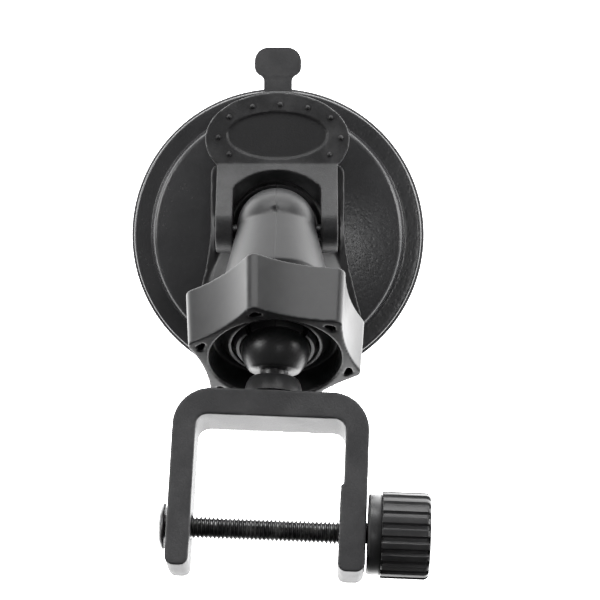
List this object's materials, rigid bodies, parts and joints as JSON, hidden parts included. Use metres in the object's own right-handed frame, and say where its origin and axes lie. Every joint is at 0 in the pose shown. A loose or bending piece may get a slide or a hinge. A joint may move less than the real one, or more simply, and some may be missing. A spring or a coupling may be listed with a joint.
{
  "type": "suction cup camera mount",
  "caption": "Suction-cup mount with a cam lever, a ball joint under a lobed lock nut and a U bracket with a clamp screw and knob.",
  "frame": {"origin": "centre of the suction face, on the plane of the glass", "axes": "+Z out of the glass along the cup's axis, +Y towards the pull tab, +X towards the knob; the stem leans towards -Y"},
  "size_m": [0.055, 0.0959, 0.0487],
  "materials": {
    "soft_black": "soft matte",
    "stud_plastic": "moulded",
    "spring_steel": "drawn wire",
    "gloss_black": "polished with slight orange peel",
    "screw_steel": "zinc plated",
    "satin_black": "satin",
    "seat_grey": "matte",
    "nut_satin": "satin",
    "lever_matte": "fine matte",
    "pin_steel": "ground",
    "ball_gloss": "gloss",
    "bracket_matte": "spark-eroded matte",
    "black_steel": "black oxide",
    "knob_black": "semi-gloss",
    "insert_brass": "turned"
  },
  "bodies": {
    "base": {"suction_membrane": "soft_black", "cup_housing": "gloss_black", "ball_stem": "satin_black", "base_screw_left": "screw_steel", "base_screw_right": "screw_steel", "return_spring": "spring_steel"},
    "stud": {"membrane_stud": "stud_plastic", "lever_pin": "pin_steel"},
    "lever": {"cam_lever": "lever_matte"},
    "nut": {"lock_nut": "nut_satin"},
    "seat": {"ball_seat": "seat_grey"},
    "ball": {"ball_stud": "ball_gloss"},
    "bracket": {"u_bracket": "bracket_matte"},
    "screw": {"clamp_screw": "black_steel"},
    "insert": {"knob_insert": "insert_brass"},
    "knob": {"clamp_knob": "knob_black"}
  },
  "joints": [
    {"name": "stud_slide", "type": "slide", "parent": "base", "child": "stud", "axis": [0, 0, -1], "range_m": [0, 0.0015], "deforming": ["return_spring", "suction_membrane"]},
    {"name": "lever_hinge", "type": "hinge", "parent": "stud", "child": "lever", "pos_m": [0, 0, 0.0132], "axis": [1, 0, 0], "range_deg": [0, 90]},
    {"name": "nut_turn", "type": "hinge", "parent": "base", "child": "nut", "pos_m": [0, 0, 0.0155], "axis": [0, -0.7986, 0.6018], "range_deg": [0, 180]},
    {"name": "ball_swivel", "type": "hinge", "parent": "base", "child": "seat", "pos_m": [0, -0.0206, 0.03103], "axis": [0, -0.7986, 0.6018], "continuous": true},
    {"name": "ball_tilt", "type": "hinge", "parent": "seat", "child": "ball", "pos_m": [0, -0.0206, 0.03103], "axis": [1, 0, 0], "range_deg": [-42, 7]},
    {"name": "ball_spin", "type": "hinge", "parent": "ball", "child": "bracket", "pos_m": [0, -0.0206, 0.03103], "axis": [-0.0401, -0.9503, 0.3088], "range_deg": [-25, 25]},
    {"name": "screw_turn", "type": "hinge", "parent": "bracket", "child": "screw", "pos_m": [-0.0013, -0.0513, 0.041], "axis": [0.9992, -0.0382, 0.0124], "continuous": true},
    {"name": "knob_travel", "type": "slide", "parent": "screw", "child": "insert", "axis": [0.9992, -0.0382, 0.0124], "range_m": [0, 0.00245]},
    {"name": "knob_turn", "type": "hinge", "parent": "insert", "child": "knob", "pos_m": [-0.0013, -0.0513, 0.041], "axis": [0.9992, -0.0382, 0.0124], "range_deg": [0, 1260]}
  ],
  "couplings": [
    {"joint": "lever_hinge", "follows": "stud_slide", "rad_per_m": 1047.2},
    {"joint": "knob_turn", "follows": "knob_travel", "rad_per_m": 8975.9}
  ]
}
